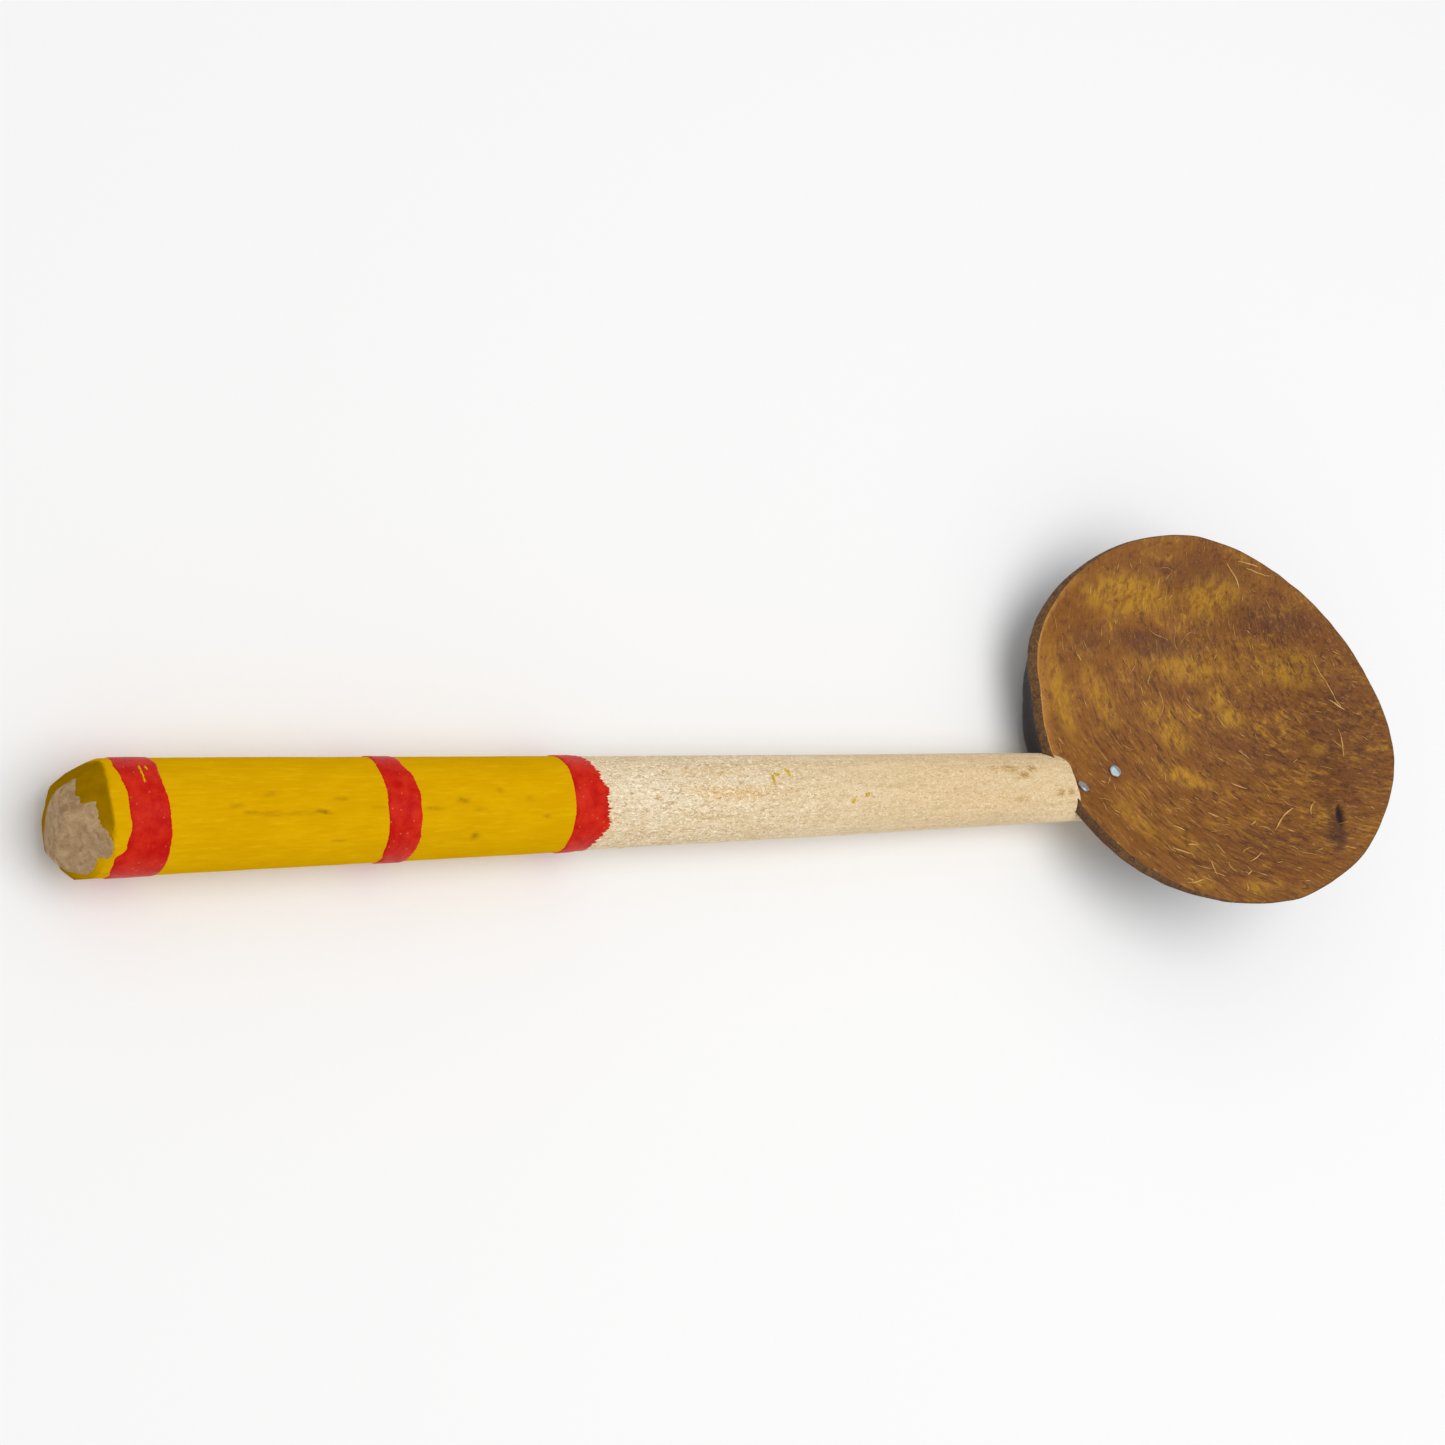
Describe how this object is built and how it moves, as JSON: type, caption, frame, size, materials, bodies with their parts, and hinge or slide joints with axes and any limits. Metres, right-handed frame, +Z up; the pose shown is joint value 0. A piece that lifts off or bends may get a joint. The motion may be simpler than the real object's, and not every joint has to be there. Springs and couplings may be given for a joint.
{
  "type": "serving spoon",
  "caption": "Shallow oval shell bowl held by nails in the split end of a round tapered stick handle with painted bands.",
  "frame": {"origin": "middle of the base of the box round the spoon as it lies on a table, bowl open upwards", "axes": "+X along the handle from the grip end to the bowl, +Y to the side that the bowl is set to, +Z up"},
  "size_m": [0.3424, 0.0968, 0.0427],
  "materials": {
    "handle_wood": "bare, fine grain",
    "coconut_shell": "sanded satin inside, polished dark outside",
    "nail_steel": "domed bright heads",
    "yellow_paint": "satin brushed enamel",
    "red_paint": "satin brushed enamel"
  },
  "bodies": {
    "root": {"handle": "handle_wood", "shell_bowl": "coconut_shell", "rim_nail": "nail_steel", "inner_nail": "nail_steel", "yellow_coat": "yellow_paint", "red_band_butt": "red_paint", "red_band_middle": "red_paint", "red_band_neck": "red_paint"}
  },
  "joints": []
}
